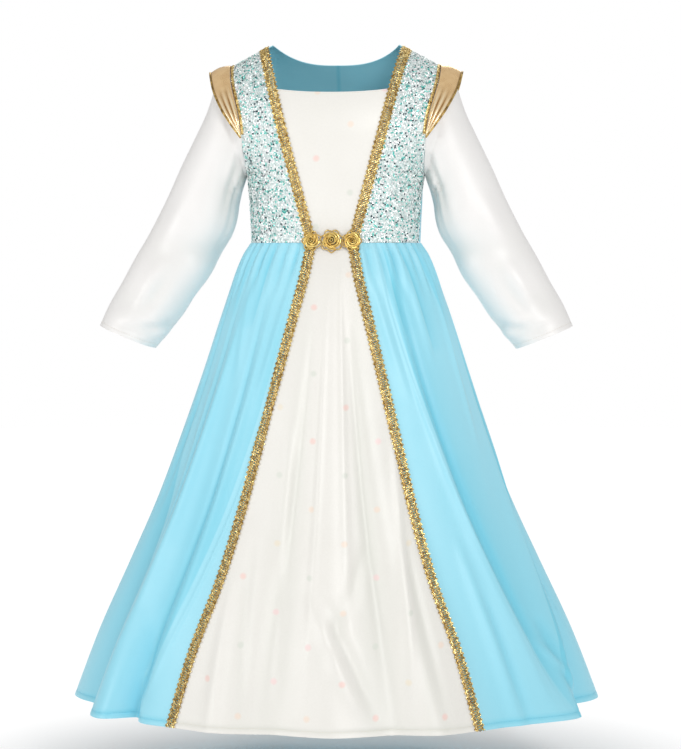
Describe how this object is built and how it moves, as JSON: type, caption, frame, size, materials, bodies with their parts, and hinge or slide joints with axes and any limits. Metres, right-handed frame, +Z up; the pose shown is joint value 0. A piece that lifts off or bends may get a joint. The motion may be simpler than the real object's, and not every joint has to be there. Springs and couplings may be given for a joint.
{
  "type": "princess costume dress",
  "caption": "Child's long princess costume dress with a sequinned bodice, flared blue and ivory skirt, long sleeves, gold braid, shoulder caps and waist roses, open at neck, hem and cuffs.",
  "frame": {"origin": "midway between the two points where the shoulder seams meet the neckline, where the wearer's shoulders carry the dress", "axes": "+Z up, the dress faces -Y, +X is the wearer's left"},
  "size_m": [0.6686, 0.549, 0.8259],
  "materials": {
    "ivory_satin": "ivory satin printed with small soft dots",
    "sleeve_satin": "plain ivory-white satin",
    "blue_velour": "light blue short-pile velour with a soft sheen",
    "sequin_fabric": "pale aqua and silver glitter sequins",
    "gold_braid": "woven metallic gold braid",
    "gold_lame": "smooth gold lame",
    "gold_ribbon": "gold satin ribbon"
  },
  "bodies": {
    "root": {"bodice_insert": "ivory_satin", "bodice_side_left": "sequin_fabric", "bodice_side_right": "sequin_fabric", "bodice_back_left": "blue_velour", "bodice_back_right": "blue_velour", "skirt_front": "ivory_satin", "skirt_side_left": "blue_velour", "skirt_side_right": "blue_velour", "skirt_back": "blue_velour", "bodice_braid_left": "gold_braid", "bodice_braid_right": "gold_braid", "skirt_braid_left": "gold_braid", "skirt_braid_right": "gold_braid", "sleeve_left": "sleeve_satin", "sleeve_right": "sleeve_satin", "cap_left": "gold_lame", "cap_right": "gold_lame", "cap_edge_left": "gold_lame", "cap_edge_right": "gold_lame", "armhole_braid_left": "gold_braid", "armhole_braid_right": "gold_braid", "rose_1": "gold_ribbon", "rose_2": "gold_ribbon", "rose_3": "gold_ribbon"}
  },
  "joints": []
}
